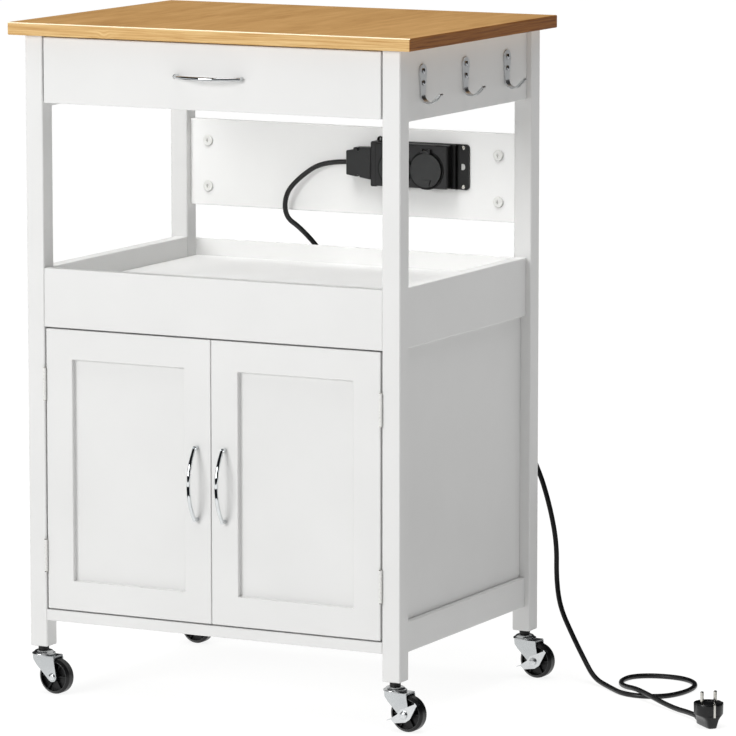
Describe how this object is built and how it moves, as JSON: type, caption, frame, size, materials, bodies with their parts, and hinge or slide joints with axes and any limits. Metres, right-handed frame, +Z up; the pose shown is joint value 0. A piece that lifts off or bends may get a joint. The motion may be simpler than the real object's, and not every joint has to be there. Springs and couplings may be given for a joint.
{
  "type": "kitchen cart",
  "caption": "Rolling kitchen cart for a microwave, with wooden top, drawer, open tray, cupboard with panelled doors, side hooks, rear outlet with cord and plug, and swivel casters.",
  "frame": {"origin": "on the floor under the middle of the cart's bounding box, cord and plug left out", "axes": "+Z up, the doors and drawer face -Y, +X to the right seen from the front"},
  "size_m": [0.9466, 0.5045, 0.91],
  "materials": {
    "wood_top": "clear lacquered honey-coloured wood",
    "white_paint": "satin white painted wood",
    "white_board": "white coated thin hardboard",
    "chrome": "polished chrome plate",
    "nickel": "bright nickel-plated steel",
    "satin_steel": "satin steel",
    "zinc": "zinc-plated pressed steel",
    "white_plastic": "white moulded plastic",
    "black_plastic": "satin black moulded plastic",
    "black_rubber": "black flexible plastic sheath",
    "wheel_black": "black hard plastic wheel"
  },
  "bodies": {
    "cart": {"worktop": "wood_top", "leg_front_left": "white_paint", "leg_front_right": "white_paint", "leg_rear_left": "white_paint", "leg_rear_right": "white_paint", "apron_left": "white_paint", "apron_right": "white_paint", "apron_rear": "white_paint", "power_rail": "white_paint", "rail_caps": "white_plastic", "tray_front": "white_paint", "tray_sides": "white_paint", "tray_shelf": "white_paint", "back_panel": "white_board", "side_panels": "white_paint", "lower_side_rails": "white_paint", "bottom_panel": "white_paint", "inner_shelf": "white_paint", "shelf_pins": "zinc", "cabinet_runners": "zinc", "hinge_leg_leaves": "nickel", "hinge_pins": "nickel", "magnetic_catch": "white_plastic", "hooks": "satin_steel", "hook_screws": "satin_steel", "outlet_housing": "black_plastic", "outlet_screws": "satin_steel", "cord_connector": "black_plastic", "caster_stems": "zinc", "caster_bushes": "black_plastic", "cord": "black_rubber", "plug_body": "black_rubber", "plug_pins": "nickel"},
    "drawer": {"drawer_front": "white_paint", "drawer_sides": "white_paint", "drawer_back": "white_paint", "drawer_bottom": "white_board", "drawer_runners": "zinc", "drawer_handle": "chrome"},
    "left_door": {"door_left": "white_paint", "door_left_handle": "chrome", "hinge_left_door_leaves": "nickel", "catch_plate_left": "nickel"},
    "right_door": {"door_right": "white_paint", "door_right_handle": "chrome", "hinge_right_door_leaves": "nickel", "catch_plate_right": "nickel"},
    "left_lid": {"outlet_lid_left": "black_plastic"},
    "right_lid": {"outlet_lid_right": "black_plastic"},
    "swivel_front_left": {"caster_fork_front_left": "zinc"},
    "wheel_front_left": {"caster_wheel_front_left": "wheel_black"},
    "swivel_front_right": {"caster_fork_front_right": "zinc"},
    "wheel_front_right": {"caster_wheel_front_right": "wheel_black"},
    "swivel_rear_left": {"caster_fork_rear_left": "zinc"},
    "wheel_rear_left": {"caster_wheel_rear_left": "wheel_black"},
    "swivel_rear_right": {"caster_fork_rear_right": "zinc"},
    "wheel_rear_right": {"caster_wheel_rear_right": "wheel_black"},
    "brake_front_right": {"brake_lever_front_right": "zinc"},
    "brake_rear_right": {"brake_lever_rear_right": "zinc"}
  },
  "joints": [
    {"name": "drawer_slide", "type": "slide", "parent": "cart", "child": "drawer", "axis": [0, -1, 0], "range_m": [0, 0.26]},
    {"name": "door_left_hinge", "type": "hinge", "parent": "cart", "child": "left_door", "pos_m": [-0.25885, -0.20495, 0.30825], "axis": [0, 0, -1], "range_deg": [0, 150]},
    {"name": "door_right_hinge", "type": "hinge", "parent": "cart", "child": "right_door", "pos_m": [0.24715, -0.20495, 0.30825], "axis": [0, 0, 1], "range_deg": [0, 150]},
    {"name": "lid_left_hinge", "type": "hinge", "parent": "cart", "child": "left_lid", "pos_m": [0.07275, 0.17775, 0.7205], "axis": [-1, 0, 0], "range_deg": [0, 100], "stiffness_Nm_per_rad": 0.006, "springref_deg": -17.19},
    {"name": "lid_right_hinge", "type": "hinge", "parent": "cart", "child": "right_lid", "pos_m": [0.12075, 0.17775, 0.7205], "axis": [-1, 0, 0], "range_deg": [0, 100], "stiffness_Nm_per_rad": 0.006, "springref_deg": -17.19},
    {"name": "swivel_front_left_turn", "type": "hinge", "parent": "cart", "child": "swivel_front_left", "pos_m": [-0.27285, -0.18975, 0.051], "axis": [0, 0, 1], "continuous": true},
    {"name": "wheel_front_left_spin", "type": "hinge", "parent": "swivel_front_left", "child": "wheel_front_left", "pos_m": [-0.25238, -0.19082, 0.024], "axis": [-0.0523, -0.9986, 0], "continuous": true},
    {"name": "swivel_front_right_turn", "type": "hinge", "parent": "cart", "child": "swivel_front_right", "pos_m": [0.26115, -0.18975, 0.051], "axis": [0, 0, 1], "continuous": true},
    {"name": "wheel_front_right_spin", "type": "hinge", "parent": "swivel_front_right", "child": "wheel_front_right", "pos_m": [0.28162, -0.19082, 0.024], "axis": [-0.0523, -0.9986, 0], "continuous": true},
    {"name": "swivel_rear_left_turn", "type": "hinge", "parent": "cart", "child": "swivel_rear_left", "pos_m": [-0.27285, 0.20425, 0.051], "axis": [0, 0, 1], "continuous": true},
    {"name": "wheel_rear_left_spin", "type": "hinge", "parent": "swivel_rear_left", "child": "wheel_rear_left", "pos_m": [-0.25238, 0.20318, 0.024], "axis": [-0.0523, -0.9986, 0], "continuous": true},
    {"name": "swivel_rear_right_turn", "type": "hinge", "parent": "cart", "child": "swivel_rear_right", "pos_m": [0.26115, 0.20425, 0.051], "axis": [0, 0, 1], "continuous": true},
    {"name": "wheel_rear_right_spin", "type": "hinge", "parent": "swivel_rear_right", "child": "wheel_rear_right", "pos_m": [0.28162, 0.20318, 0.024], "axis": [-0.0523, -0.9986, 0], "continuous": true},
    {"name": "brake_front_right_press", "type": "hinge", "parent": "swivel_front_right", "child": "brake_front_right", "pos_m": [0.28162, -0.19082, 0.024], "axis": [-0.0523, -0.9986, 0], "range_deg": [0, 15]},
    {"name": "brake_rear_right_press", "type": "hinge", "parent": "swivel_rear_right", "child": "brake_rear_right", "pos_m": [0.28162, 0.20318, 0.024], "axis": [-0.0523, -0.9986, 0], "range_deg": [0, 15]}
  ]
}
